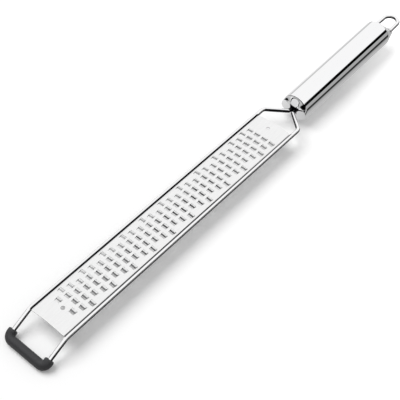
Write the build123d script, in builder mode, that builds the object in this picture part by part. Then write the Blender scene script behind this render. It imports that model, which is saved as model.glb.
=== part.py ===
# Rasp zester: a bowed rasp blade on a hairpin wire frame, with a pinched tube handle and a rubber foot
# Sizes are in millimetres. The tool stands on Z = 0, and +X runs from the foot to the hang loop.

import os
from math import asin, cos, degrees, radians, sin, sqrt, tan

from build123d import *

os.makedirs("parts", exist_ok=True)

# Frame wire
wire_diameter = 3.0
rail_spacing = 31.6
rail_height = 12.2
rail_length = 224.8
shoulder_radius = 4.0
neck_run = 12.3
neck_radius = 3.0
tail_gap = 0.1
tail_length = 22.7
tip_leg_angle = 25.0
tip_bend_radius = 9.0
foot_corner_radius = 3.6

# Rubber foot
foot_diameter = 6.4
foot_fit = 0.05
foot_collar_reach = 5.8
foot_end_chamfer = 0.7
foot_flat_depth = 0.15

# Rasp blade
blade_length = 218.0
blade_lead = 0.7
blade_thickness = 0.5
blade_bow = 1.3
blade_edge_lift = 0.6
blade_weld_gap = 0.05
blade_corner_radius = 1.2
round_hole_diameter = 2.9
front_round_hole_inset = 13.0
rear_round_hole_inset = 7.0

# Rasp teeth
column_step = 6.0
lane_step = 2.1
first_column_inset = 14.6
last_column_inset_min = 15.0
side_lane_inset_min = 3.0
opening_length = 2.1
opening_width = 3.9
hood_height = 0.65
hood_run = 1.4
hood_base_width = 4.5
hood_crest_width = 3.2
hood_wall = 0.25
hood_lean = 22.0
hood_root_depth = 0.2
hood_shoulder_height_share = 0.75
hood_shoulder_run_share = 0.5
lane_cycle = 3
closing_columns = 2

# Tube handle
handle_diameter = 21.5
handle_wall = 0.8
handle_length = 113.7
handle_tilt = 2.05
mouth_gap = 2.7
mouth_pinch_length = 2.6
mouth_lobe_radius = 4.8
press_nose_radius = 3.5
rear_press_length = 8.5
rear_waist_height = 1.7
rear_cavity_radius = 3.0
grip_fit = 0.05
round_side_angle = 52.0

# Hang loop
loop_bend_radius = 5.85
loop_reach = 16.9
loop_leg_splay = 2.0
loop_leg_length = 30.0

overrun = 1.0

# Shared radii and heights
wire_radius = wire_diameter / 2
rail_y = rail_spacing / 2
tail_y = wire_radius + tail_gap / 2
foot_radius = foot_diameter / 2
foot_axis_height = foot_radius - foot_flat_depth
handle_radius = handle_diameter / 2
tilt = radians(handle_tilt)
leg_slope = radians(tip_leg_angle)

# Places along X, with the origin midway between the foot and the end of the hang loop
tip_leg_run = (rail_height - foot_axis_height) / tan(leg_slope)
front_reach = tip_leg_run + foot_radius
mouth_from_tip = rail_length + neck_run + mouth_gap * cos(tilt)
loop_end_reach = loop_reach - wire_radius
rear_reach = mouth_from_tip + (handle_length + loop_end_reach) * cos(tilt) + wire_radius
tip_x = (front_reach - rear_reach) / 2
foot_x = tip_x - tip_leg_run
shoulder_x = tip_x + rail_length
blade_start = tip_x - blade_lead
mouth_x = tip_x + mouth_from_tip

# The handle's axis: it rests on its lowest point, where the round barrel begins
handle_axis = Vector(cos(tilt), 0, sin(tilt))
mouth_height = handle_radius * cos(tilt) - mouth_pinch_length * sin(tilt)
mouth_centre = Vector(mouth_x, 0, mouth_height)


def handle_plane(along):
    """A plane square to the handle's axis, at a distance behind the mouth, with +X to the tool's left."""
    return Plane(origin=mouth_centre + handle_axis * along, x_dir=(0, 1, 0), z_dir=handle_axis)


def frame_side(side):
    """The wire's corners on one side, from its tail in the handle to its corner in the foot."""
    neck_centre = mouth_centre - handle_axis * mouth_gap
    tail_end = mouth_centre + handle_axis * tail_length
    return [
        (tail_end.X, side * tail_y, tail_end.Z),
        (neck_centre.X, side * tail_y, neck_centre.Z),
        (shoulder_x, side * rail_y, rail_height),
        (tip_x, side * rail_y, rail_height),
        (foot_x, side * rail_y, foot_axis_height),
    ]


def foot_route(extra):
    """The sleeve's centre line: down one leg, across the bar and up the other leg."""
    reach = foot_collar_reach + extra
    collar_x = foot_x + reach * cos(leg_slope)
    collar_z = foot_axis_height + reach * sin(leg_slope)
    return [
        (collar_x, rail_y, collar_z),
        (foot_x, rail_y, foot_axis_height),
        (foot_x, -rail_y, foot_axis_height),
        (collar_x, -rail_y, collar_z),
    ]


# Frame wire: one hairpin from tail to tail
with BuildPart() as frame_wire:
    with BuildLine() as frame_line:
        FilletPolyline(
            *frame_side(1),
            *reversed(frame_side(-1)),
            radius=[
                neck_radius,
                shoulder_radius,
                tip_bend_radius,
                foot_corner_radius,
                foot_corner_radius,
                tip_bend_radius,
                shoulder_radius,
                neck_radius,
            ],
        )
    with BuildSketch(Plane(origin=frame_line.line @ 0, z_dir=frame_line.line % 0)):
        Circle(wire_radius)
    sweep(path=frame_line.line)
frame_wire.part.label = "frame_wire"
export_step(frame_wire.part, "parts/frame_wire.step")

# Foot sleeve: rubber tube over the closed end of the wire, with a narrow flat to stand on
with BuildPart() as foot_sleeve:
    with BuildLine() as sleeve_line:
        FilletPolyline(*foot_route(0), radius=foot_corner_radius)
    with BuildSketch(Plane(origin=sleeve_line.line @ 0, z_dir=sleeve_line.line % 0)):
        Circle(foot_radius)
    sweep(path=sleeve_line.line)
    chamfer(foot_sleeve.faces().filter_by(GeomType.PLANE).edges(), foot_end_chamfer)
    with BuildLine() as bore_line:
        FilletPolyline(*foot_route(overrun), radius=foot_corner_radius)
    with BuildSketch(Plane(origin=bore_line.line @ 0, z_dir=bore_line.line % 0)):
        Circle(wire_radius + foot_fit)
    sweep(path=bore_line.line, mode=Mode.SUBTRACT)
    split(bisect_by=Plane.XY, keep=Keep.TOP)
foot_sleeve.part.label = "foot_sleeve"
export_step(foot_sleeve.part, "parts/foot_sleeve.step")

# The blade's bow: an arc through its two edges and its crest
blade_half_width = rail_y - wire_radius - blade_weld_gap
blade_edge_height = rail_height + blade_edge_lift
bow_radius = (blade_half_width**2 + blade_bow**2) / (2 * blade_bow)
inner_bow_radius = bow_radius - blade_thickness
bow_centre_height = blade_edge_height + blade_bow - bow_radius
edge_angle = asin(blade_half_width / bow_radius)


def on_bow(radius, angle):
    """A point of the blade's section, across and up, at an angle from the crest."""
    return (radius * sin(angle), bow_centre_height + radius * cos(angle))


def bow_arc(radius):
    """The blade's whole arc at one radius, from its right edge to its left."""
    return ThreePointArc(on_bow(radius, -edge_angle), on_bow(radius, 0), on_bow(radius, edge_angle))


def on_blade(along, across):
    """A place on the blade's top face, turned to stand square on the bow."""
    angle = across / bow_radius
    y, z = on_bow(bow_radius, angle)
    return Location((blade_start + along, y, z), (-degrees(angle), 0, 0))


column_count = 1 + int((blade_length - first_column_inset - last_column_inset_min) / column_step)
middle_lane = int((blade_half_width - side_lane_inset_min) / lane_step)
lane_count = 2 * middle_lane + 1


def column_phase(column):
    """The lane where a column's teeth start. The last two columns repeat the four-tooth pair."""
    closing = column - (column_count - closing_columns)
    return closing if closing >= 0 else (column + lane_cycle - 1) % lane_cycle


tooth_places = [
    on_blade(first_column_inset + column * column_step, (middle_lane - lane) * lane_step)
    for column in range(column_count)
    for lane in range(column_phase(column), lane_count, lane_cycle)
    if column > 0 or lane != middle_lane
]
round_hole_places = [
    on_blade(front_round_hole_inset, 0),
    on_blade(blade_length - rear_round_hole_inset, 0),
]

# A tooth's side outline: the hood rises from the blade towards the opening and ends in the cutting edge
hood_front = opening_length / 2
hood_shoulder_x = hood_front + hood_run * hood_shoulder_run_share
hood_shoulder_height = hood_height * hood_shoulder_height_share
hood_fall = hood_shoulder_height / (hood_run * (1 - hood_shoulder_run_share))
hood_root_x = hood_front + hood_run + hood_root_depth / hood_fall
hood_root_width = hood_base_width + (hood_base_width - hood_crest_width) * hood_root_depth / hood_height
cavity_depth = blade_thickness + overrun
hood_mouth_height = hood_height - hood_wall
cavity_back = hood_front + (hood_mouth_height + cavity_depth) * tan(radians(hood_lean))
cavity_crest_width = hood_crest_width - 2 * hood_wall

# Hood: the raised lip of one tooth
with BuildPart() as hood:
    with BuildSketch(Plane.YZ.offset(hood_front)):
        with BuildLine():
            Polyline(
                (-hood_root_width / 2, -hood_root_depth),
                (-hood_crest_width / 2, hood_height),
                (hood_crest_width / 2, hood_height),
                (hood_root_width / 2, -hood_root_depth),
                close=True,
            )
        make_face()
    extrude(amount=hood_root_x - hood_front)
    with BuildSketch(Plane.XZ):
        with BuildLine():
            Polyline(
                (hood_front, -hood_root_depth),
                (hood_front, hood_height),
                (hood_shoulder_x, hood_shoulder_height),
                (hood_root_x, -hood_root_depth),
                close=True,
            )
        make_face()
    extrude(amount=hood_root_width, both=True, mode=Mode.INTERSECT)

# Cavity: the opening and the mouth of the hood, cut through the blade
with BuildPart() as cavity:
    with BuildSketch(Plane.YZ.offset(hood_front - overrun)):
        with BuildLine():
            Polyline(
                (-opening_width / 2, -cavity_depth),
                (-opening_width / 2, 0),
                (-cavity_crest_width / 2, hood_mouth_height),
                (cavity_crest_width / 2, hood_mouth_height),
                (opening_width / 2, 0),
                (opening_width / 2, -cavity_depth),
                close=True,
            )
        make_face()
    extrude(amount=cavity_back - hood_front + overrun)
    with BuildSketch(Plane.XZ):
        with BuildLine():
            Polyline(
                (hood_front - overrun, -cavity_depth),
                (hood_front - overrun, hood_mouth_height),
                (hood_front, hood_mouth_height),
                (cavity_back, -cavity_depth),
                close=True,
            )
        make_face()
    extrude(amount=opening_width, both=True, mode=Mode.INTERSECT)
    with BuildSketch(Plane.XY.offset(-cavity_depth)):
        Rectangle(opening_length, opening_width)
    extrude(amount=cavity_depth + overrun)

# Rasp blade: a bowed strip with hooded teeth, and a round hole near each end
with BuildPart() as rasp_blade:
    with BuildSketch(Plane.YZ.offset(blade_start)):
        with BuildLine():
            outer_arc = bow_arc(bow_radius)
            inner_arc = bow_arc(inner_bow_radius)
            Line(outer_arc @ 0, inner_arc @ 0)
            Line(outer_arc @ 1, inner_arc @ 1)
        make_face()
    extrude(amount=blade_length)
    corner_edges = rasp_blade.edges().filter_by(lambda edge: edge.length < 2 * blade_thickness)
    fillet(corner_edges, blade_corner_radius)
    with Locations(*tooth_places):
        add(hood.part)
    with Locations(*tooth_places):
        add(cavity.part, mode=Mode.SUBTRACT)
    with Locations(*round_hole_places):
        Cylinder(round_hole_diameter / 2, 2 * (blade_thickness + overrun), mode=Mode.SUBTRACT)
rasp_blade.part.label = "rasp_blade"
export_step(rasp_blade.part, "parts/rasp_blade.step")


def four_arc_face(join_y, join_z, far_y, far_z):
    """A face bounded by two side arcs and two top and bottom arcs that meet at four joins."""
    with BuildSketch() as outline:
        with BuildLine():
            ThreePointArc((join_y, -join_z), (far_y, 0), (join_y, join_z))
            ThreePointArc((join_y, join_z), (0, far_z), (-join_y, join_z))
            ThreePointArc((-join_y, join_z), (-far_y, 0), (-join_y, -join_z))
            ThreePointArc((-join_y, -join_z), (0, -far_z), (join_y, -join_z))
        make_face()
    return outline.sketch


def pinched_outline(lobe_y, lobe_radius, waist_height):
    """Two round lobes joined by two inward waist arcs, drawn as four arcs that meet tangent."""
    waist_radius = (lobe_y**2 + waist_height**2 - lobe_radius**2) / (2 * (lobe_radius - waist_height))
    share = lobe_radius / (lobe_radius + waist_radius)
    join_y = lobe_y * (1 - share)
    join_z = (waist_height + waist_radius) * share
    far_y = lobe_y + lobe_radius
    return four_arc_face(join_y, join_z, far_y, waist_height)


def round_outline(radius):
    """A circle drawn as four arcs that answer the pinched outline's four."""
    join_y = radius * cos(radians(round_side_angle))
    join_z = radius * sin(radians(round_side_angle))
    return four_arc_face(join_y, join_z, radius, radius)


# The mouth's waist grips both tails, and its two lobes are closed
nose_to_tail = press_nose_radius + handle_wall + wire_radius + grip_fit
mouth_waist_height = sqrt(nose_to_tail**2 - tail_y**2) - press_nose_radius
mouth_lobe_y = sqrt((mouth_lobe_radius + press_nose_radius) ** 2 - (mouth_waist_height + press_nose_radius) ** 2)

# The rear end closes round the loop's two legs
splay = radians(loop_leg_splay)
loop_centre_reach = loop_end_reach - loop_bend_radius
loop_join_x = loop_centre_reach + loop_bend_radius * sin(splay)
loop_join_y = loop_bend_radius * cos(splay)
rear_lobe_y = loop_join_y + loop_join_x * tan(splay)
rear_lobe_radius = wire_radius + grip_fit + handle_wall

# The hang loop lies in a plane through the tube's rear end, with +X along the handle's axis
loop_plane = Plane(
    origin=mouth_centre + handle_axis * handle_length, x_dir=handle_axis, z_dir=(-sin(tilt), 0, cos(tilt))
)
leg_start_x = loop_join_x - loop_leg_length * cos(splay)
leg_start_y = loop_join_y + loop_leg_length * sin(splay)

# The hollow runs full width from behind the pinch, then narrows beside the rear press at the same slope
barrel_start = mouth_pinch_length
barrel_end = handle_length - rear_press_length
bore_radius = handle_radius - handle_wall
press_slope = (handle_radius - rear_waist_height) / rear_press_length
press_wall = handle_wall * sqrt(1 + press_slope**2)
cavity_front = barrel_start + handle_wall
cavity_shoulder = barrel_end - (press_wall - handle_wall) / press_slope
cavity_rear = cavity_shoulder + (bore_radius - rear_cavity_radius) / press_slope

# Handle tube: pinched on the frame's tails at the front and pressed on the loop's legs at the rear
with BuildPart() as handle_tube:
    with BuildSketch(handle_plane(0)):
        add(pinched_outline(mouth_lobe_y, mouth_lobe_radius, mouth_waist_height))
    with BuildSketch(handle_plane(barrel_start)):
        add(round_outline(handle_radius))
    loft(ruled=True)
    with BuildSketch(handle_plane(barrel_start)):
        add(round_outline(handle_radius))
    extrude(amount=barrel_end - barrel_start)
    with BuildSketch(handle_plane(barrel_end)):
        add(round_outline(handle_radius))
    with BuildSketch(handle_plane(handle_length)):
        add(pinched_outline(rear_lobe_y, rear_lobe_radius, rear_waist_height))
    loft(ruled=True)
    with BuildSketch(Plane(origin=mouth_centre, x_dir=handle_axis, z_dir=(0, -1, 0))):
        with BuildLine():
            Polyline(
                (cavity_front, 0),
                (cavity_front, bore_radius),
                (cavity_shoulder, bore_radius),
                (cavity_rear, rear_cavity_radius),
                (cavity_rear, 0),
                close=True,
            )
        make_face()
    revolve(axis=Axis(mouth_centre, handle_axis), mode=Mode.SUBTRACT)
    with BuildSketch(handle_plane(0)):
        SlotCenterToCenter(2 * tail_y, 2 * (wire_radius + grip_fit))
    extrude(amount=cavity_front + overrun, mode=Mode.SUBTRACT)
    for side in (1, -1):
        leg_start = loop_plane.from_local_coords((leg_start_x, side * leg_start_y, 0))
        leg_end = loop_plane.from_local_coords((loop_join_x, side * loop_join_y, 0))
        with BuildSketch(Plane(origin=leg_start, z_dir=leg_end - leg_start)):
            Circle(wire_radius + grip_fit)
        extrude(amount=loop_leg_length, mode=Mode.SUBTRACT)
handle_tube.part.label = "handle_tube"
export_step(handle_tube.part, "parts/handle_tube.step")

# Hang loop: a half-round bend with two legs that spread a little into the tube
with BuildPart() as hang_loop:
    with BuildLine(loop_plane) as loop_line:
        Line((leg_start_x, leg_start_y), (loop_join_x, loop_join_y))
        ThreePointArc((loop_join_x, loop_join_y), (loop_end_reach, 0), (loop_join_x, -loop_join_y))
        Line((loop_join_x, -loop_join_y), (leg_start_x, -leg_start_y))
    with BuildSketch(Plane(origin=loop_line.line @ 0, z_dir=loop_line.line % 0)):
        Circle(wire_radius)
    sweep(path=loop_line.line)
hang_loop.part.label = "hang_loop"
export_step(hang_loop.part, "parts/hang_loop.step")
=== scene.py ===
# The rasp zester's finished pieces, floor, light and camera.
# Lengths are in metres, in the part's own frame.

from math import atan2, cos, pi, radians, sin, sqrt, tan

import bmesh
import bpy
from mathutils import Matrix, Vector


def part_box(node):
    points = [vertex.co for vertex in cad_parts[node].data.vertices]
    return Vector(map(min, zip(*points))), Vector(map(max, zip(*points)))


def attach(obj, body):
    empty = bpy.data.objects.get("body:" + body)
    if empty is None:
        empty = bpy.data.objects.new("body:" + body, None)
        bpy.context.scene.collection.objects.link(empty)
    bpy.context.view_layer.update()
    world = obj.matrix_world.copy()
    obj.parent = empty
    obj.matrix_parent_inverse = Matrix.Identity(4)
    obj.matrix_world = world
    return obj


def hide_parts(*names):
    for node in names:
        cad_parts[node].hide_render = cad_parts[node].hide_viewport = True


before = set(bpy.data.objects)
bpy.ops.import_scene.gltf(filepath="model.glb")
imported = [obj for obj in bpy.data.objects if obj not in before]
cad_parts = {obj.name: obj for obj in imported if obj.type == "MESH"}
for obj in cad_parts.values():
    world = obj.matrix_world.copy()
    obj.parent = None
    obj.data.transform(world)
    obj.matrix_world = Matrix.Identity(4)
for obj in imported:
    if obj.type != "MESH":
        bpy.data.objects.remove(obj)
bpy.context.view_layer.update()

MM = 0.001
MERGE_DISTANCE = 0.001 * MM
SMOOTH_ANGLE = radians(40)

# Frame wire
WIRE_RADIUS = 1.5 * MM
RAIL_Y = 15.8 * MM
RAIL_HEIGHT = 12.2 * MM
RAIL_LENGTH = 224.8 * MM
SHOULDER_RADIUS = 4.0 * MM
NECK_RUN = 12.3 * MM
NECK_RADIUS = 3.0 * MM
TAIL_Y = 1.55 * MM
TAIL_LENGTH = 22.7 * MM
TIP_LEG_ANGLE = radians(25)
TIP_BEND_RADIUS = 9.0 * MM
FOOT_CORNER_RADIUS = 3.6 * MM

# The wire's inner flank has painted shade out to these two lines, for the dark groove by the blade
GROOVE_SHADE_LEFT_Y = 15.2 * MM
GROOVE_SHADE_RIGHT_Y = -15.45 * MM
GROOVE_SHADE_SOFTNESS = 0.12 * MM

# Painted shade under the wire: where it starts and is full, as the height of the surface's normal
UNDERSIDE_SHADE_HIGH = 0.65
UNDERSIDE_SHADE_LOW = 0.3

# In the neck the wire's front flanks get a painted dark reflection: the neck's start behind the
# blade, and where the dark starts and is full, as the reach of the surface's normal along the tool
NECK_START = 3 * MM
NECK_REFLECTION_SOFT = -0.2
NECK_REFLECTION_DARK = -0.4

# Rubber foot
FOOT_RADIUS = 3.2 * MM
FOOT_FLAT_DEPTH = 0.15 * MM
FOOT_COLLAR_REACH = 5.8 * MM
FOOT_END_ROUND = 1.0 * MM
FOOT_END_STEPS = 6
FOOT_BORE_DEPTH = 0.9 * MM

# Tube handle
HANDLE_RADIUS = 10.75 * MM
HANDLE_LENGTH = 113.7 * MM
HANDLE_TILT = radians(2.05)
HANDLE_WALL = 0.8 * MM
MOUTH_GAP = 2.7 * MM
MOUTH_PINCH_LENGTH = 2.6 * MM
MOUTH_LOBE_RADIUS = 4.8 * MM
PRESS_NOSE_RADIUS = 3.5 * MM
REAR_PRESS_LENGTH = 8.5 * MM
REAR_WAIST_HEIGHT = 1.7 * MM
GRIP_FIT = 0.05 * MM
CREASE_REACH = 0.9 * MM
RIM_ROUND = 0.55 * MM

# The tube's sections: their number along each pressed end and rim, and the first and last one at
# a crease, in steps of its reach
MOUTH_SECTIONS = 10
MOUTH_CREASE_FIRST = -2
REAR_SECTIONS = 16
REAR_CREASE_FIRST = -3
CREASE_LAST = 5
CREASE_STEPS = 8
RIM_STEPS = 4

# Hang loop
LOOP_BEND_RADIUS = 5.85 * MM
LOOP_REACH = 16.9 * MM
LOOP_LEG_SPLAY = radians(2)
LOOP_LEG_LENGTH = 30.0 * MM

# Blade
BLADE_SMOOTH_ANGLE = radians(25)
BLADE_RIM = 0.3 * MM
BLADE_EDGE_RISE = 0.6 * MM
BLADE_BOW_RADIUS = 78.75 * MM
FIRST_COLUMN_INSET = 14.6 * MM
COLUMN_SPACING = 6 * MM
LANE_SPACING = 2.1 * MM
TOOTH_COLUMNS = 32
CLOSING_COLUMNS = 2
TOOTH_LANES = 11
LANE_CYCLE = 3
OPENING_LENGTH = 2.1 * MM
OPENING_WIDTH = 3.9 * MM
CHEEK_REACH = 1.6 * MM
CHEEK_HEIGHT = 0.5 * MM
CHEEK_WIDTH = 0.4 * MM
CHEEK_SINK = 0.15 * MM
LIP_REACH = 0.7 * MM
LIP_THICKNESS = 0.2 * MM
LIP_SIDE_GAP = 0.02 * MM

# The blade's materials besides the satin one, as places in its list; the cut edges' one is painted
# shade
CUT_SHADE_INDEX = 1
HOOD_FINISH = 2
FLANK_FINISH = 3

# Which faces have them, as shares of a face's normal: upright or facing the front for the cut
# edges' painted shade, facing the rear for a hood's back, facing sideways for a hood's flank
CUT_UPRIGHT = 0.2
CUT_FACING_FRONT = -0.5
HOOD_FACING_REAR = 0.25
FLANK_FACING_SIDE = 0.35

# Painted shade: a dark band on a hood's back, just behind its cutting edge
EDGE_SHADE_BAND = 0.15 * MM
EDGE_SHADE_BAND_SOFTNESS = 0.06 * MM

# How light the cut edges' painted shade is, matched to the photograph: by distance to the tool's
# left, and by distance along it
LIGHTER_FROM_Y = 0 * MM
LIGHTER_TO_Y = 11 * MM
LIGHTER_ALONG = (
    (-175 * MM, 0.4),
    (-120 * MM, 0.25),
    (-70 * MM, 0.0),
    (-40 * MM, 0.0),
    (45 * MM, 1.0),
)

# Painted shade round the tails where the tube is pinched on them, for a recess not modelled
TAIL_SHADE_HALF_WIDTH = 3.0 * MM
TAIL_SHADE_DEPTH = 0.15 * MM
TAIL_SHADE_SOFTNESS = 0.15 * MM
TAIL_SHADE_REACH = 3.2 * MM

# Colours and grains
BLADE_COLOUR = (0.86, 0.86, 0.86)
BLADE_GRAIN_COLOUR = (0.93, 0.93, 0.93)
# The cut edges' painted shade, near black, and its lighter form
CUT_EDGE_SHADE = (0.04, 0.04, 0.042)
CUT_EDGE_LIGHTER_SHADE = (0.5, 0.5, 0.505)
WIRE_COLOUR = (0.93, 0.93, 0.935)
# Painted shade and dark reflections on the steel
PAINTED_DARK = (0.02, 0.02, 0.022)
RUBBER_COLOUR = (0.03, 0.03, 0.032)
WHITE = (1, 1, 1)
EVEN = (1, 1, 1)
GRAIN_DETAIL = 6

# Fineness of the rounded pieces
WIRE_SIDES = 40
FOOT_SIDES = 64
TUBE_SIDES = 160
BEND_STEP = radians(4)

# Camera, as fitted to the photograph
CAMERA_PLACE = Vector((-0.34345, -0.2675, 0.49095))
CAMERA_AIM = Vector((0.48275, 0.42014, -0.76840))
CAMERA_LENS = 85.0
CAMERA_SENSOR = 36.0
CAMERA_NEAR = 0.01
CAMERA_FAR = 20.0

# Light
SKY_LEVEL = 0.5
KEY_ANGLE = radians(45)
KEY_STRENGTH = 1.85
KEY_AIM = Vector((0.05, -0.47, -0.88))
FILL_ANGLE = radians(35)
FILL_STRENGTH = 0.22
FILL_AIM = Vector((0.05, 0.4, -0.92))
FLOOR_WHITE = 0.9
FLOOR_HALF = 3.0
FLOOR_DROP = 0.2 * MM

# What polished steel mirrors, as brightness by angle about the tool's length, from the right
# horizon to the left
SIDE_ROOM = (
    (radians(0), 0.4),
    (radians(14), 0.42),
    (radians(17), 0.0),
    (radians(36), 0.0),
    (radians(40), 1.0),
    (radians(168), 1.0),
    (radians(180), 0.5),
)
# The same by angle about the tool's width, from the front horizon to the rear
FRONT_ROOM = (
    (radians(0), 0.5),
    (radians(8), 0.5),
    (radians(12), 0.0),
    (radians(46), 0.0),
    (radians(52), 1.0),
    (radians(180), 1.0),
)
# The floor in polished steel, as brightness by distance to the tool's left
FLOOR_IN_STEEL = (
    (-170 * MM, 0.4),
    (-118 * MM, 0.4),
    (-104 * MM, 0.03),
    (-44 * MM, 0.03),
    (-32 * MM, 0.4),
    (20 * MM, 0.75),
    (60 * MM, 0.95),
    (110 * MM, 0.6),
)
# Light that the floor itself gives off, which lightens its shadows, by distance along the tool
FLOOR_LIFT = (
    (-200 * MM, 0.04),
    (-150 * MM, 0.05),
    (40 * MM, 0.1),
    (110 * MM, 0.13),
    (170 * MM, 0.35),
)
# More of it in a strip under the blade, by distance along the tool
LIFT_UNDER_BLADE = (
    (-120 * MM, 0.0),
    (-40 * MM, 0.22),
    (20 * MM, 0.28),
    (44 * MM, 0.1),
    (60 * MM, 0.0),
)
LIFT_RIGHT_Y = -7 * MM
LIFT_LEFT_Y = 9 * MM
LIFT_SOFTNESS = 4 * MM

# Places worked out from the sizes above and from the frame
foot_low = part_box("foot_sleeve")[0]
blade_low, blade_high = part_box("rasp_blade")
handle_low, handle_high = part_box("handle_tube")
foot_axis_height = FOOT_RADIUS - FOOT_FLAT_DEPTH
foot_x = foot_low.x + FOOT_RADIUS
tip_x = foot_x + (RAIL_HEIGHT - foot_axis_height) / tan(TIP_LEG_ANGLE)
shoulder_x = tip_x + RAIL_LENGTH
handle_axis = Vector((cos(HANDLE_TILT), 0, sin(HANDLE_TILT)))
handle_up = Vector((-sin(HANDLE_TILT), 0, cos(HANDLE_TILT)))
tool_left = Vector((0, 1, 0))
mouth_centre = Vector(
    (
        shoulder_x + NECK_RUN + MOUTH_GAP * cos(HANDLE_TILT),
        0,
        HANDLE_RADIUS * cos(HANDLE_TILT) - MOUTH_PINCH_LENGTH * sin(HANDLE_TILT),
    )
)

# The hang loop's bend, and where its left leg joins it, from the middle of the tube's rear end
loop_bend_x = LOOP_REACH - WIRE_RADIUS - LOOP_BEND_RADIUS
loop_join_x = loop_bend_x + LOOP_BEND_RADIUS * sin(LOOP_LEG_SPLAY)
loop_join_y = LOOP_BEND_RADIUS * cos(LOOP_LEG_SPLAY)


def press_radius(lobe_y, lobe_radius, waist_height):
    """The radius of the waist arc that is tangent to both lobes."""
    return (lobe_y**2 + waist_height**2 - lobe_radius**2) / (2 * (lobe_radius - waist_height))


# The two pressed outlines of the tube: where a lobe's middle is, its radius, and the waist's
# radius and height
nose_to_tail = PRESS_NOSE_RADIUS + HANDLE_WALL + WIRE_RADIUS + GRIP_FIT
nose_to_lobe = PRESS_NOSE_RADIUS + MOUTH_LOBE_RADIUS
mouth_waist = sqrt(nose_to_tail**2 - TAIL_Y**2) - PRESS_NOSE_RADIUS
mouth_lobe_y = sqrt(nose_to_lobe**2 - (mouth_waist + PRESS_NOSE_RADIUS) ** 2)
mouth_form = (mouth_lobe_y, MOUTH_LOBE_RADIUS, PRESS_NOSE_RADIUS, mouth_waist)
rear_lobe_y = loop_join_y + loop_join_x * tan(LOOP_LEG_SPLAY)
rear_lobe_radius = WIRE_RADIUS + GRIP_FIT + HANDLE_WALL
rear_waist_radius = press_radius(rear_lobe_y, rear_lobe_radius, REAR_WAIST_HEIGHT)
rear_form = (rear_lobe_y, rear_lobe_radius, rear_waist_radius, REAR_WAIST_HEIGHT)


def combine(tree, operation, first, second):
    """A Math node over two values, each a socket or a number."""
    node = tree.nodes.new("ShaderNodeMath")
    node.operation = operation
    for place, value in enumerate((first, second)):
        if isinstance(value, (int, float)):
            node.inputs[place].default_value = value
        else:
            tree.links.new(value, node.inputs[place])
    return node.outputs[0]


def smooth_step(tree, value, low, high):
    """0 below low, 1 above high, and smooth between them. With low above high it falls instead."""
    node = tree.nodes.new("ShaderNodeMapRange")
    node.interpolation_type = "SMOOTHSTEP"
    node.inputs["From Min"].default_value = low
    node.inputs["From Max"].default_value = high
    tree.links.new(value, node.inputs["Value"])
    return node.outputs["Result"]


def within(tree, value, low, high, softness):
    """1 between low and high, 0 outside, with soft ends."""
    above = smooth_step(tree, value, low - softness, low + softness)
    below = smooth_step(tree, value, high + softness, high - softness)
    return combine(tree, "MULTIPLY", above, below)


def between(tree, value, low, high):
    """A 0 to 1 pattern spread between two values."""
    node = tree.nodes.new("ShaderNodeMapRange")
    node.inputs["To Min"].default_value = low
    node.inputs["To Max"].default_value = high
    tree.links.new(value, node.inputs["Value"])
    return node.outputs["Result"]


def brightness(tree, value, stops):
    """A brightness that follows a list of places and levels, with straight runs between them."""
    low, high = stops[0][0], stops[-1][0]
    spread = tree.nodes.new("ShaderNodeMapRange")
    spread.inputs["From Min"].default_value = low
    spread.inputs["From Max"].default_value = high
    tree.links.new(value, spread.inputs["Value"])
    ramp = tree.nodes.new("ShaderNodeValToRGB")
    marks = ramp.color_ramp.elements
    while len(marks) < len(stops):
        marks.new(position=0.5)
    for mark, (place, level) in zip(marks, stops):
        mark.position = (place - low) / (high - low)
        mark.color = (level, level, level, 1)
    tree.links.new(spread.outputs["Result"], ramp.inputs["Fac"])
    return ramp.outputs["Color"]


def noise(tree, scale, detail, stretch):
    """A noise pattern on Object coordinates, stretched along an axis where its share is small."""
    place = tree.nodes.new("ShaderNodeTexCoord")
    mapping = tree.nodes.new("ShaderNodeMapping")
    mapping.inputs["Scale"].default_value = stretch
    pattern = tree.nodes.new("ShaderNodeTexNoise")
    pattern.inputs["Scale"].default_value = scale
    pattern.inputs["Detail"].default_value = detail
    tree.links.new(place.outputs["Object"], mapping.inputs["Vector"])
    tree.links.new(mapping.outputs["Vector"], pattern.inputs["Vector"])
    return pattern.outputs["Fac"]


def object_place(tree):
    """The X, Y and Z of a point on the object."""
    place = tree.nodes.new("ShaderNodeTexCoord")
    parts = tree.nodes.new("ShaderNodeSeparateXYZ")
    tree.links.new(place.outputs["Object"], parts.inputs[0])
    return parts.outputs


def lean(tree, axis, light, dark):
    """0 where a surface's normal has a light share along an axis, 1 where it has a dark one."""
    surface = tree.nodes.new("ShaderNodeNewGeometry")
    parts = tree.nodes.new("ShaderNodeSeparateXYZ")
    tree.links.new(surface.outputs["Normal"], parts.inputs[0])
    return smooth_step(tree, parts.outputs[axis], light, dark)


def new_material(name):
    """An empty node material with its output, and its node tree."""
    material = bpy.data.materials.new(name)
    material.use_nodes = True
    tree = material.node_tree
    tree.nodes.clear()
    output = tree.nodes.new("ShaderNodeOutputMaterial")
    return material, tree, output


def grained(
    name, colour, rough, scale, stretch, relief, strength, metallic=1, detail=GRAIN_DETAIL
):
    """A material, steel unless said otherwise, whose roughness and fine relief follow a grain."""
    material, tree, output = new_material(name)
    shader = tree.nodes.new("ShaderNodeBsdfPrincipled")
    shader.inputs["Base Color"].default_value = (*colour, 1)
    shader.inputs["Metallic"].default_value = metallic
    grain = noise(tree, scale, detail, stretch)
    tree.links.new(between(tree, grain, *rough), shader.inputs["Roughness"])
    bump = tree.nodes.new("ShaderNodeBump")
    bump.inputs["Distance"].default_value = relief
    bump.inputs["Strength"].default_value = strength
    tree.links.new(grain, bump.inputs["Height"])
    tree.links.new(bump.outputs["Normal"], shader.inputs["Normal"])
    tree.links.new(shader.outputs["BSDF"], output.inputs["Surface"])
    return material


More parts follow.
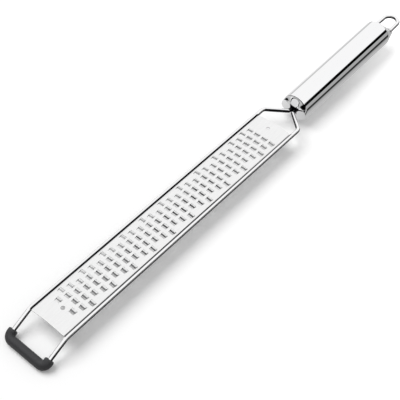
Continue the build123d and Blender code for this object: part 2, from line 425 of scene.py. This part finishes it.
def blend_colour(material, colour, where, other=PAINTED_DARK):
    """Blends a steel's colour into another one, the painted shade's by default, by a pattern."""
    tree = material.node_tree
    shader = next(node for node in tree.nodes if node.type == "BSDF_PRINCIPLED")
    tint = tree.nodes.new("ShaderNodeMix")
    tint.data_type = "RGBA"
    tint.inputs["A"].default_value = (*colour, 1)
    tint.inputs["B"].default_value = (*other, 1)
    tree.links.new(where, tint.inputs["Factor"])
    tree.links.new(tint.outputs["Result"], shader.inputs["Base Color"])


def satin_steel():
    """The blade's satin face, whose fine grain runs along it."""
    material = grained(
        "blade_steel", BLADE_COLOUR, rough=(0.22, 0.4), scale=1600, stretch=(0.06, 1, 1),
        relief=0.02 * MM, strength=0.2,
    )
    tree = material.node_tree
    streaks = noise(tree, scale=2400, detail=8, stretch=(0.05, 1, 1))
    share = between(tree, streaks, low=-0.6, high=1.6)
    blend_colour(material, BLADE_COLOUR, share, BLADE_GRAIN_COLOUR)
    return material


def rail_steel():
    """Polished wire, with painted shade at the groove beside the blade, where the tails go into
    the handle and on its underside, and a painted dark reflection on the neck's front flanks."""
    material = grained(
        "wire_steel", WIRE_COLOUR, rough=(0.03, 0.08), scale=1500, stretch=(0.1, 1, 1),
        relief=0.01 * MM, strength=0.05,
    )
    tree = material.node_tree
    place = object_place(tree)
    x, y = place["X"], place["Y"]
    # Painted shade on the inner flank beside the blade, for the groove
    inner = within(tree, y, GROOVE_SHADE_RIGHT_Y, GROOVE_SHADE_LEFT_Y, GROOVE_SHADE_SOFTNESS)
    beside_blade = within(tree, x, blade_low.x, blade_high.x, GROOVE_SHADE_SOFTNESS)
    groove_shade = combine(tree, "MULTIPLY", inner, beside_blade)
    # Painted shade where the tails go into the handle
    entry = within(tree, x, mouth_centre.x - TAIL_SHADE_REACH, handle_high.x, TAIL_SHADE_SOFTNESS)
    middle = within(tree, y, -TAIL_SHADE_HALF_WIDTH, TAIL_SHADE_HALF_WIDTH, TAIL_SHADE_SOFTNESS)
    tails = combine(tree, "MULTIPLY", entry, middle)
    # Painted dark reflection on the neck's front flanks
    neck = within(tree, x, blade_high.x + NECK_START, handle_high.x, WIRE_RADIUS)
    facing_front = lean(tree, "X", NECK_REFLECTION_SOFT, NECK_REFLECTION_DARK)
    neck_dark_reflection = combine(tree, "MULTIPLY", neck, facing_front)
    # Painted shade on the underside, joined with the other painted marks
    dark = lean(tree, "Z", UNDERSIDE_SHADE_HIGH, UNDERSIDE_SHADE_LOW)
    for pattern in (groove_shade, tails, neck_dark_reflection):
        dark = combine(tree, "MAXIMUM", dark, pattern)
    blend_colour(material, WIRE_COLOUR, dark)
    return material


def tube_polish():
    """Polished tube, with painted shade round the tails at its front end."""
    material = grained(
        "tube_steel", WIRE_COLOUR, rough=(0.03, 0.07), scale=1200, stretch=(0.08, 1, 1),
        relief=0.01 * MM, strength=0.03,
    )
    tree = material.node_tree
    place = object_place(tree)
    # Painted shade round the tails on the tube's front end
    first = handle_low.x - TAIL_SHADE_DEPTH
    last = mouth_centre.x + TAIL_SHADE_DEPTH
    front = within(tree, place["X"], first, last, TAIL_SHADE_SOFTNESS)
    middle = within(tree, place["Y"], -TAIL_SHADE_HALF_WIDTH, TAIL_SHADE_HALF_WIDTH, TAIL_SHADE_SOFTNESS)
    blend_colour(material, WIRE_COLOUR, combine(tree, "MULTIPLY", front, middle))
    return material


def painted_cut_shade():
    """Painted shade on the cut edges, lighter on the tool's left and at both ends, as in the
    photograph.
    """
    material = grained(
        "blade_cut_shade", CUT_EDGE_SHADE, rough=(0.2, 0.4), scale=2000, stretch=EVEN, relief=0.01 * MM,
        strength=0.1,
    )
    tree = material.node_tree
    place = object_place(tree)
    # Painted shade, lightened on the tool's left and by place along it
    left = smooth_step(tree, place["Y"], LIGHTER_FROM_Y, LIGHTER_TO_Y)
    along = brightness(tree, place["X"], LIGHTER_ALONG)
    lighter = combine(tree, "MAXIMUM", left, along)
    blend_colour(material, CUT_EDGE_SHADE, lighter, CUT_EDGE_LIGHTER_SHADE)
    return material


def hood_steel():
    """The hoods' backs, with painted shade just behind each cutting edge."""
    material = grained(
        "hood_steel", BLADE_COLOUR, rough=(0.24, 0.36), scale=900, stretch=(0.05, 1, 1),
        relief=0.02 * MM, strength=0.15,
    )
    tree = material.node_tree
    # Painted shade: a dark band just behind each cutting edge
    first_edge = blade_low.x + FIRST_COLUMN_INSET + OPENING_LENGTH / 2
    from_first = combine(tree, "SUBTRACT", object_place(tree)["X"], first_edge)
    past_edge = combine(tree, "FLOORED_MODULO", from_first, COLUMN_SPACING)
    band_start = EDGE_SHADE_BAND + EDGE_SHADE_BAND_SOFTNESS
    band = smooth_step(tree, past_edge, band_start, EDGE_SHADE_BAND - EDGE_SHADE_BAND_SOFTNESS)
    blend_colour(material, BLADE_COLOUR, band)
    return material


def flank_steel():
    """The hoods' flanks, which are rougher."""
    return grained(
        "hood_flank", BLADE_COLOUR, rough=(0.6, 0.8), scale=900, stretch=EVEN, relief=0.01 * MM,
        strength=0.1,
    )


def foot_rubber():
    """The foot's matt black rubber, with a faint moulded texture."""
    return grained(
        "foot_rubber", RUBBER_COLOUR, rough=(0.45, 0.65), scale=2600, stretch=EVEN,
        relief=0.05 * MM, strength=0.4, metallic=0, detail=4,
    )


def seen_or_mirrored(tree):
    """1 for camera, glossy and transmission rays, 0 for the rays that light surfaces."""
    path = tree.nodes.new("ShaderNodeLightPath")
    first = combine(tree, "MAXIMUM", path.outputs["Is Camera Ray"], path.outputs["Is Glossy Ray"])
    return combine(tree, "MAXIMUM", first, path.outputs["Is Transmission Ray"])


def floor_white():
    """White floor whose shadows are lightened by place. Steel mirrors a painted floor instead."""
    material, tree, output = new_material("floor_white")
    place = object_place(tree)
    matt = tree.nodes.new("ShaderNodeBsdfDiffuse")
    matt.inputs["Color"].default_value = (FLOOR_WHITE, FLOOR_WHITE, FLOOR_WHITE, 1)
    glow = tree.nodes.new("ShaderNodeEmission")
    strip = within(tree, place["Y"], LIFT_RIGHT_Y, LIFT_LEFT_Y, LIFT_SOFTNESS)
    under_blade = brightness(tree, place["X"], LIFT_UNDER_BLADE)
    in_strip = combine(tree, "MULTIPLY", under_blade, strip)
    lift = combine(tree, "ADD", brightness(tree, place["X"], FLOOR_LIFT), in_strip)
    seen_lift = combine(tree, "MULTIPLY", seen_or_mirrored(tree), lift)
    tree.links.new(seen_lift, glow.inputs["Strength"])
    lit = tree.nodes.new("ShaderNodeAddShader")
    tree.links.new(matt.outputs[0], lit.inputs[0])
    tree.links.new(glow.outputs[0], lit.inputs[1])
    mirrored = tree.nodes.new("ShaderNodeEmission")
    level = brightness(tree, place["Y"], FLOOR_IN_STEEL)
    tree.links.new(level, mirrored.inputs["Strength"])
    path = tree.nodes.new("ShaderNodeLightPath")
    both = tree.nodes.new("ShaderNodeMixShader")
    tree.links.new(path.outputs["Is Glossy Ray"], both.inputs["Fac"])
    tree.links.new(lit.outputs[0], both.inputs[1])
    tree.links.new(mirrored.outputs[0], both.inputs[2])
    tree.links.new(both.outputs[0], output.inputs["Surface"])
    return material


def make_camera():
    """The camera at the photograph's viewing angle."""
    data = bpy.data.cameras.new("camera")
    data.lens = CAMERA_LENS
    data.sensor_width = CAMERA_SENSOR
    data.clip_start = CAMERA_NEAR
    data.clip_end = CAMERA_FAR
    camera = bpy.data.objects.new("camera", data)
    bpy.context.scene.collection.objects.link(camera)
    camera.location = CAMERA_PLACE
    camera.rotation_euler = CAMERA_AIM.to_track_quat("-Z", "Y").to_euler()
    bpy.context.scene.camera = camera


def make_floor():
    """The pale floor under the tool."""
    bpy.ops.mesh.primitive_plane_add(size=2 * FLOOR_HALF, location=(0, 0, -FLOOR_DROP))
    floor = bpy.context.object
    floor.name = "floor"
    floor.data.materials.append(floor_white())


def room_level(tree, place, outward, stops):
    """The room's brightness by the angle above one horizon, about the axis that lies along it."""
    parts = tree.nodes.new("ShaderNodeSeparateXYZ")
    tree.links.new(place, parts.inputs[0])
    away = combine(tree, "MULTIPLY", parts.outputs[outward], -1)
    return brightness(tree, combine(tree, "ARCTAN2", parts.outputs["Z"], away), stops)


def soft_sun(name, angle, strength, aim):
    """A soft light from far away, which the steel doesn't mirror."""
    sun = bpy.data.lights.new(name, "SUN")
    sun.energy = strength
    sun.angle = angle
    lamp = bpy.data.objects.new(name, sun)
    bpy.context.scene.collection.objects.link(lamp)
    lamp.visible_glossy = False
    lamp.rotation_euler = aim.to_track_quat("-Z", "Y").to_euler()


def make_lights():
    """A soft sun from the tool's left, a fill from its right, and a white sky. Steel mirrors a
    white room with dark cards in the sky's place."""
    soft_sun("key", KEY_ANGLE, KEY_STRENGTH, KEY_AIM)
    soft_sun("fill", FILL_ANGLE, FILL_STRENGTH, FILL_AIM)
    world = bpy.data.worlds.new("world")
    bpy.context.scene.world = world
    world.use_nodes = True
    tree = world.node_tree
    tree.nodes.clear()
    output = tree.nodes.new("ShaderNodeOutputWorld")
    plain = tree.nodes.new("ShaderNodeBackground")
    plain.inputs["Color"].default_value = (*WHITE, 1)
    plain.inputs["Strength"].default_value = SKY_LEVEL
    seen = tree.nodes.new("ShaderNodeBackground")
    seen.inputs["Color"].default_value = (*WHITE, 1)
    path = tree.nodes.new("ShaderNodeLightPath")
    place = tree.nodes.new("ShaderNodeTexCoord")
    side_room = room_level(tree, place.outputs["Generated"], "Y", SIDE_ROOM)
    front_room = room_level(tree, place.outputs["Generated"], "X", FRONT_ROOM)
    room = combine(tree, "MINIMUM", side_room, front_room)
    not_mirrored = combine(tree, "SUBTRACT", 1, path.outputs["Is Glossy Ray"])
    tree.links.new(combine(tree, "MAXIMUM", room, not_mirrored), seen.inputs["Strength"])
    mix = tree.nodes.new("ShaderNodeMixShader")
    tree.links.new(seen_or_mirrored(tree), mix.inputs["Fac"])
    tree.links.new(plain.outputs[0], mix.inputs[1])
    tree.links.new(seen.outputs[0], mix.inputs[2])
    tree.links.new(mix.outputs[0], output.inputs["Surface"])


def finish_piece(bm, name, node, materials, smooth_angle=SMOOTH_ANGLE):
    """Makes a finished mesh of a bmesh. It stands for a CAD node and rides on the part."""
    bmesh.ops.remove_doubles(bm, verts=bm.verts, dist=MERGE_DISTANCE)
    bmesh.ops.recalc_face_normals(bm, faces=bm.faces)
    for face in bm.faces:
        face.smooth = True
    for edge in bm.edges:
        if len(edge.link_faces) == 2 and edge.calc_face_angle() > smooth_angle:
            edge.smooth = False
    mesh = bpy.data.meshes.new(name)
    bm.to_mesh(mesh)
    bm.free()
    piece = bpy.data.objects.new(name, mesh)
    bpy.context.scene.collection.objects.link(piece)
    for material in materials:
        mesh.materials.append(material)
    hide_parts(node)
    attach(piece, "root")


def edges_of(items):
    """The edges among an operator's results."""
    return [item for item in items if isinstance(item, bmesh.types.BMEdge)]


def ring_verts(edges):
    """The points of a ring of edges, each once."""
    return list(dict.fromkeys(vert for edge in edges for vert in edge.verts))


def ring_edges(verts):
    """The edges of a ring of points, each once."""
    return list(dict.fromkeys(edge for vert in verts for edge in vert.link_edges))


def ring(bm, centre, direction, radius, sides):
    """A circle of edges square to a direction."""
    turn = direction.to_track_quat("Z", "Y").to_matrix().to_4x4()
    made = bmesh.ops.create_circle(
        bm, cap_ends=False, segments=sides, radius=radius, matrix=Matrix.Translation(centre) @ turn
    )
    return ring_edges(made["verts"])


def run_on(bm, edges, step):
    """Extrudes a ring of edges by a step, and gives the new ring."""
    onward = edges_of(bmesh.ops.extrude_edge_only(bm, edges=edges)["geom"])
    bmesh.ops.translate(bm, verts=ring_verts(onward), vec=step)
    return onward


def turn_on(bm, edges, centre, axis, turn, steps):
    """Spins a ring of edges about an axis, and gives the new ring."""
    geometry = edges + ring_verts(edges)
    made = bmesh.ops.spin(bm, geom=geometry, cent=centre, axis=axis, angle=turn, steps=steps)
    return edges_of(made["geom_last"])


def shrink(bm, edges, centre, share):
    """Scales a ring about its centre."""
    share_each = (share, share, share)
    bmesh.ops.scale(bm, verts=ring_verts(edges), vec=share_each, space=Matrix.Translation(-centre))


def close_end(bm, edges):
    """Fills a ring with one flat face."""
    bmesh.ops.edgeloop_fill(bm, edges=edges)


def cut_plane(bm, place, outward, clear_outer=False):
    """Cuts a mesh along a plane, and gives the edges of the cut."""
    everything = bm.verts[:] + bm.edges[:] + bm.faces[:]
    made = bmesh.ops.bisect_plane(
        bm, geom=everything, plane_co=place, plane_no=outward, clear_outer=clear_outer
    )
    return edges_of(made["geom_cut"])


def bent_bar(bm, corners, bends, radius, sides):
    """A round bar along straight runs joined by tangent bends. Gives its first and last rings."""
    here = corners[0]
    heading = (corners[1] - corners[0]).normalized()
    first = ring(bm, here, heading, radius, sides)
    last = first
    for corner, after, bend in zip(corners[1:-1], corners[2:], bends):
        out = (after - corner).normalized()
        turn = heading.angle(out)
        cut = bend * tan(turn / 2)
        last = run_on(bm, last, corner - heading * cut - here)
        axis = heading.cross(out).normalized()
        centre = corner - heading * cut + axis.cross(heading) * bend
        last = turn_on(bm, last, centre, axis, turn, max(2, round(turn / BEND_STEP)))
        here = corner + out * cut
        heading = out
    last = run_on(bm, last, corners[-1] - here)
    return first, last


def frame_corners(side):
    """The wire's corners on one side, from its tail in the handle to its corner in the foot."""
    tail_end = mouth_centre + handle_axis * TAIL_LENGTH
    neck = mouth_centre - handle_axis * MOUTH_GAP
    return [
        Vector((tail_end.x, side * TAIL_Y, tail_end.z)),
        Vector((neck.x, side * TAIL_Y, neck.z)),
        Vector((shoulder_x, side * RAIL_Y, RAIL_HEIGHT)),
        Vector((tip_x, side * RAIL_Y, RAIL_HEIGHT)),
        Vector((foot_x, side * RAIL_Y, foot_axis_height)),
    ]


def make_frame_wire(material):
    """The hairpin wire, from tail to tail."""
    bm = bmesh.new()
    bends = [NECK_RADIUS, SHOULDER_RADIUS, TIP_BEND_RADIUS, FOOT_CORNER_RADIUS]
    corners = frame_corners(1) + frame_corners(-1)[::-1]
    for end in bent_bar(bm, corners, bends + bends[::-1], WIRE_RADIUS, WIRE_SIDES):
        close_end(bm, end)
    finish_piece(bm, "frame_wire_bar", "frame_wire", [material])


def make_hang_loop(material):
    """The bent wire at the handle's rear end."""
    end_centre = mouth_centre + handle_axis * HANDLE_LENGTH
    start_x = loop_join_x - LOOP_LEG_LENGTH * cos(LOOP_LEG_SPLAY)
    start_y = loop_join_y + LOOP_LEG_LENGTH * sin(LOOP_LEG_SPLAY)
    start = end_centre + handle_axis * start_x + tool_left * start_y
    join = end_centre + handle_axis * loop_join_x + tool_left * loop_join_y
    other_start = end_centre + handle_axis * start_x - tool_left * start_y
    other_join = end_centre + handle_axis * loop_join_x - tool_left * loop_join_y
    bend_centre = end_centre + handle_axis * loop_bend_x
    turn = pi + 2 * LOOP_LEG_SPLAY
    bm = bmesh.new()
    first = ring(bm, start, (join - start).normalized(), WIRE_RADIUS, WIRE_SIDES)
    last = run_on(bm, first, join - start)
    last = turn_on(bm, last, bend_centre, -handle_up, turn, round(turn / BEND_STEP))
    last = run_on(bm, last, other_start - other_join)
    close_end(bm, first)
    close_end(bm, last)
    finish_piece(bm, "hang_loop_bar", "hang_loop", [material])


def round_foot_end(bm, edges, centre, outward):
    """Rounds one end of the sleeve, then goes in to the wire and a little way down the bore."""
    here = FOOT_RADIUS
    along = 0.0
    for step in range(1, FOOT_END_STEPS + 1):
        angle = pi * step / (2 * FOOT_END_STEPS)
        reach = FOOT_END_ROUND * sin(angle)
        size = FOOT_RADIUS - FOOT_END_ROUND * (1 - cos(angle))
        edges = run_on(bm, edges, outward * (reach - along))
        shrink(bm, edges, centre + outward * reach, size / here)
        here = size
        along = reach
    edges = run_on(bm, edges, Vector())
    shrink(bm, edges, centre + outward * along, (WIRE_RADIUS + GRIP_FIT) / here)
    close_end(bm, run_on(bm, edges, -outward * FOOT_BORE_DEPTH))


def make_foot(material):
    """The rubber sleeve, with rounded ends and a narrow flat under it."""
    leg = Vector((cos(TIP_LEG_ANGLE), 0, sin(TIP_LEG_ANGLE)))
    leg_reach = leg * (FOOT_COLLAR_REACH - FOOT_END_ROUND)
    corner = Vector((foot_x, 0, foot_axis_height))
    left = corner + tool_left * RAIL_Y
    right = corner - tool_left * RAIL_Y
    corners = [left + leg_reach, left, right, right + leg_reach]
    bm = bmesh.new()
    bends = [FOOT_CORNER_RADIUS, FOOT_CORNER_RADIUS]
    first, last = bent_bar(bm, corners, bends, FOOT_RADIUS, FOOT_SIDES)
    round_foot_end(bm, first, corners[0], leg)
    round_foot_end(bm, last, corners[-1], leg)
    close_end(bm, cut_plane(bm, Vector(), Vector((0, 0, -1)), clear_outer=True))
    finish_piece(bm, "foot_sleeve_rubber", "foot_sleeve", [material])


def pinched_point(share, lobe_y, lobe_radius, waist_radius, waist_height):
    """A point of a pressed outline, at a share of its quarter from the side to the waist."""
    waist_centre = waist_height + waist_radius
    lobe_turn = pi - atan2(waist_centre, lobe_y)
    waist_turn = lobe_turn - pi / 2
    length = lobe_radius * lobe_turn + waist_radius * waist_turn
    run = share * length
    if run < lobe_radius * lobe_turn:
        angle = run / lobe_radius
        return lobe_y + lobe_radius * cos(angle), lobe_radius * sin(angle)
    angle = waist_turn - (run - lobe_radius * lobe_turn) / waist_radius
    return waist_radius * sin(angle), waist_centre - waist_radius * cos(angle)


def tube_point(turn, form, pressed):
    """A point of the tube's section, across and up: round, pressed or between the two."""
    across = HANDLE_RADIUS * cos(turn)
    up = HANDLE_RADIUS * sin(turn)
    quarter = abs((turn + pi / 2) % pi - pi / 2) / (pi / 2)
    pressed_across, pressed_up = pinched_point(quarter, *form)
    if cos(turn) < 0:
        pressed_across = -pressed_across
    if sin(turn) < 0:
        pressed_up = -pressed_up
    return across + (pressed_across - across) * pressed, up + (pressed_up - up) * pressed


def press_depth(reach, length):
    """How far the press has gone in at a reach from the tube's end: 1 there, 0 past the crease."""
    start = length + CREASE_REACH / 2
    soft = length - CREASE_REACH / 2
    if reach >= start:
        return 0.0
    if reach >= soft:
        return (start - reach) ** 2 / (2 * CREASE_REACH * length)
    return 1 - reach / length


def section_reaches(length, sections, crease_first):
    """How far from the tube's end its sections lie, along the rim, the press and the crease."""
    rim = [RIM_ROUND * step / RIM_STEPS for step in range(RIM_STEPS + 1)]
    press = [length * step / sections for step in range(1, sections)]
    crease_steps = range(crease_first, CREASE_LAST + 1)
    crease = [length + CREASE_REACH * step / CREASE_STEPS for step in crease_steps]
    return sorted(set(rim + press + crease))


def next_row(bm, row, edges):
    """Extrudes a closed row of points, and gives the new row in the same order and its edges."""
    onward = edges_of(bmesh.ops.extrude_edge_only(bm, edges=edges)["geom"])
    fresh = set(ring_verts(onward))
    moved = []
    for vert in row:
        others = [edge.other_vert(vert) for edge in vert.link_edges]
        moved.append(next(other for other in others if other in fresh))
    return moved, onward


def draw_in(row, inset):
    """Moves a closed row of points inward, square to the row and to the handle's axis."""
    places = [vert.co.copy() for vert in row]
    for index, vert in enumerate(row):
        along_row = places[(index + 1) % len(places)] - places[index - 1]
        inward = handle_axis.cross(along_row).normalized()
        vert.co = places[index] + inward * inset


def make_handle_tube(material):
    """The tube, pinched at the mouth and pressed at the rear, with rounded creases and rims."""
    front = section_reaches(MOUTH_PINCH_LENGTH, MOUTH_SECTIONS, MOUTH_CREASE_FIRST)
    rear = section_reaches(REAR_PRESS_LENGTH, REAR_SECTIONS, REAR_CREASE_FIRST)
    stations = [
        (reach, reach, mouth_form, press_depth(reach, MOUTH_PINCH_LENGTH)) for reach in front
    ]
    for reach in reversed(rear):
        pressed = press_depth(reach, REAR_PRESS_LENGTH)
        stations.append((HANDLE_LENGTH - reach, reach, rear_form, pressed))
    bm = bmesh.new()
    turns = [2 * pi * side / TUBE_SIDES for side in range(TUBE_SIDES)]
    made = bmesh.ops.create_circle(
        bm, cap_ends=False, segments=TUBE_SIDES, radius=HANDLE_RADIUS
    )
    row = sorted(made["verts"], key=lambda vert: atan2(vert.co.y, vert.co.x) % (2 * pi))
    first = edges = ring_edges(row)
    for number, (along, reach, form, pressed) in enumerate(stations):
        if number:
            row, edges = next_row(bm, row, edges)
        for vert, turn in zip(row, turns):
            across, up = tube_point(turn, form, pressed)
            vert.co = mouth_centre + handle_axis * along + tool_left * across + handle_up * up
        if reach < RIM_ROUND:
            draw_in(row, RIM_ROUND - sqrt(RIM_ROUND**2 - (RIM_ROUND - reach) ** 2))
    close_end(bm, first)
    close_end(bm, edges)
    finish_piece(bm, "handle_tube_body", "handle_tube", [material])


def blade_top(y):
    """The height of the blade's upper face at a distance from its middle."""
    half = blade_high.y
    crown = sqrt(BLADE_BOW_RADIUS**2 - y**2) - sqrt(BLADE_BOW_RADIUS**2 - half**2)
    return RAIL_HEIGHT + BLADE_EDGE_RISE + crown


def tooth_places():
    """The middle of each opening, column by column. A round hole takes the first one's middle."""
    middle_lane = TOOTH_LANES // 2
    for column in range(TOOTH_COLUMNS):
        closing = column - (TOOTH_COLUMNS - CLOSING_COLUMNS)
        phase = closing if closing >= 0 else (column + LANE_CYCLE - 1) % LANE_CYCLE
        for lane in range(phase, TOOTH_LANES, LANE_CYCLE):
            if column > 0 or lane != middle_lane:
                x = blade_low.x + FIRST_COLUMN_INSET + COLUMN_SPACING * column
                yield x, LANE_SPACING * (middle_lane - lane)


def wedge(bm, corners):
    """A small closed solid round its corners, in the cut edges' painted shade."""
    verts = [bm.verts.new(corner) for corner in corners]
    made = bmesh.ops.convex_hull(bm, input=verts)
    for item in made["geom"]:
        if isinstance(item, bmesh.types.BMFace):
            item.material_index = CUT_SHADE_INDEX


def make_cheek(bm, x, y, side):
    """One upturned side of a tooth, which rises along the opening to the hood."""
    outer = y + side * OPENING_WIDTH / 2
    inner = outer - side * CHEEK_WIDTH
    rear = x + OPENING_LENGTH / 2
    low = blade_top(outer) - CHEEK_SINK
    high = low + CHEEK_SINK + CHEEK_HEIGHT
    front_corner = (rear - CHEEK_REACH, outer, low)
    wedge(bm, [front_corner, (rear, outer, low), (rear, inner, low), (rear, outer, high)])


def make_lip(bm, x, y):
    """The lip inside a tooth's mouth, from its rear edge forward."""
    rear = x + OPENING_LENGTH / 2
    corners = []
    for side in (1, -1):
        across = y + side * (OPENING_WIDTH / 2 - LIP_SIDE_GAP)
        high = blade_top(across)
        corners.append((rear, across, high))
        corners.append((rear - LIP_REACH, across, high - LIP_THICKNESS))
        corners.append((rear, across, high - 2 * LIP_THICKNESS))
    wedge(bm, corners)


def make_blade(materials):
    """The blade as one merged mesh in four materials, with a cheek on each side of every tooth and
    a lip in its mouth. Its long rims take the cut edges' painted shade, for the groove by the
    wire."""
    bm = bmesh.new()
    bm.from_mesh(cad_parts["rasp_blade"].data)
    bmesh.ops.remove_doubles(bm, verts=bm.verts, dist=MERGE_DISTANCE)
    rim = blade_high.y - BLADE_RIM
    cut_plane(bm, tool_left * rim, tool_left)
    cut_plane(bm, tool_left * -rim, tool_left)
    # The rims, upright faces and front faces take the cut edges' painted shade
    for face in bm.faces:
        normal = face.normal
        in_rim = abs(face.calc_center_median().y) > rim
        if in_rim or abs(normal.z) < CUT_UPRIGHT or normal.x < CUT_FACING_FRONT:
            face.material_index = CUT_SHADE_INDEX
        elif normal.x > HOOD_FACING_REAR:
            face.material_index = HOOD_FINISH
        elif abs(normal.y) > FLANK_FACING_SIDE:
            face.material_index = FLANK_FINISH
    for x, y in tooth_places():
        make_cheek(bm, x, y, 1)
        make_cheek(bm, x, y, -1)
        make_lip(bm, x, y)
    finish_piece(
        bm, "rasp_blade_strip", "rasp_blade", materials, BLADE_SMOOTH_ANGLE
    )


make_camera()
make_floor()
make_lights()
bpy.context.scene.view_settings.view_transform = "Standard"

blade_materials = [satin_steel(), painted_cut_shade(), hood_steel(), flank_steel()]
wire_steel = rail_steel()
tube_steel = tube_polish()
rubber = foot_rubber()

make_blade(blade_materials)
make_frame_wire(wire_steel)
make_hang_loop(wire_steel)
make_foot(rubber)
make_handle_tube(tube_steel)
